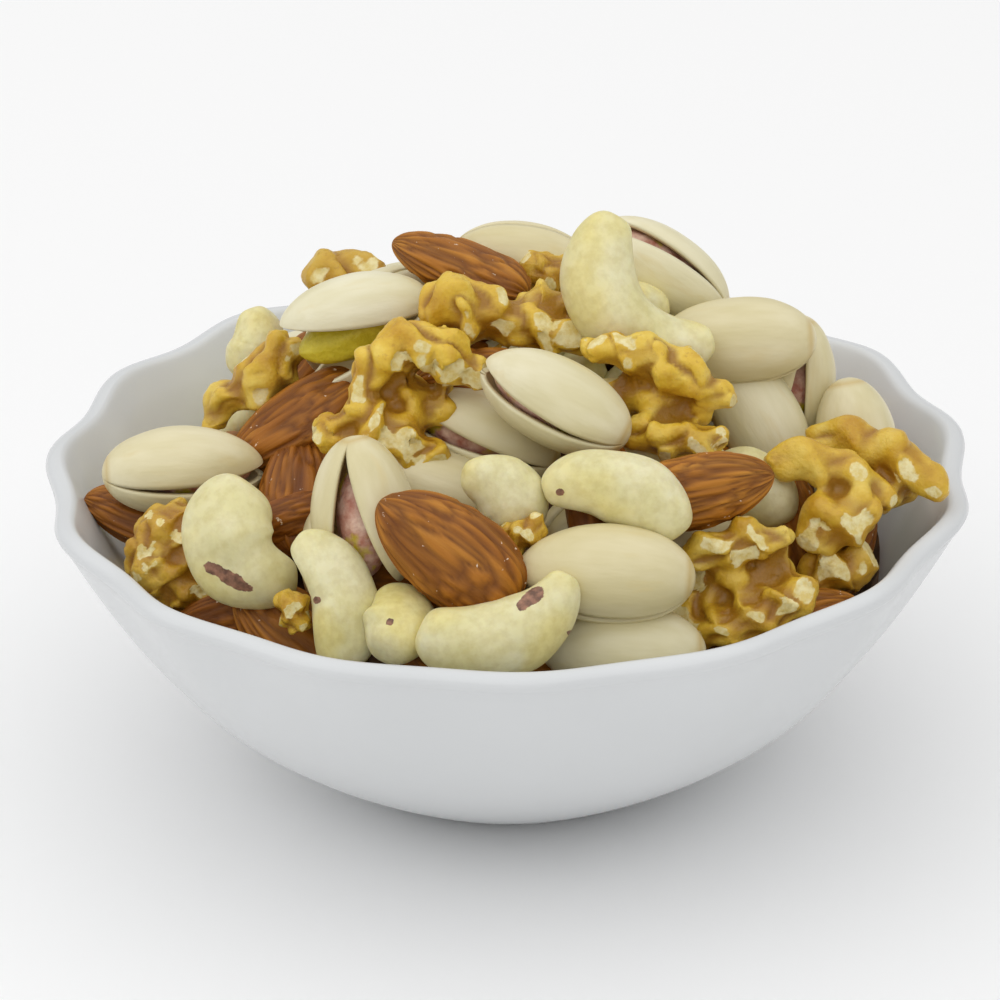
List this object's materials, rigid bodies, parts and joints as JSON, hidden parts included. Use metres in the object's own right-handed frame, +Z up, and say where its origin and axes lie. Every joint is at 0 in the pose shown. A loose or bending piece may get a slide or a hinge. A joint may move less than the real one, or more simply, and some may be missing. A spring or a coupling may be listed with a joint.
{
  "type": "bowl of mixed nuts",
  "caption": "Small white scalloped ceramic bowl heaped with mixed nuts: almonds, cashews, pistachios in split shells and walnut pieces.",
  "frame": {"origin": "on the bowl's axis, in the plane of the foot ring that it stands on", "axes": "+Z up along the bowl's axis; the side seen in the picture faces -Y, the picture's right is +X"},
  "size_m": [0.1409, 0.141, 0.09],
  "materials": {
    "glaze": "gloss white glaze",
    "nuts": "mixed nuts"
  },
  "bodies": {
    "root": {"bowl": "glaze", "nut_heap": "nuts"}
  },
  "joints": []
}
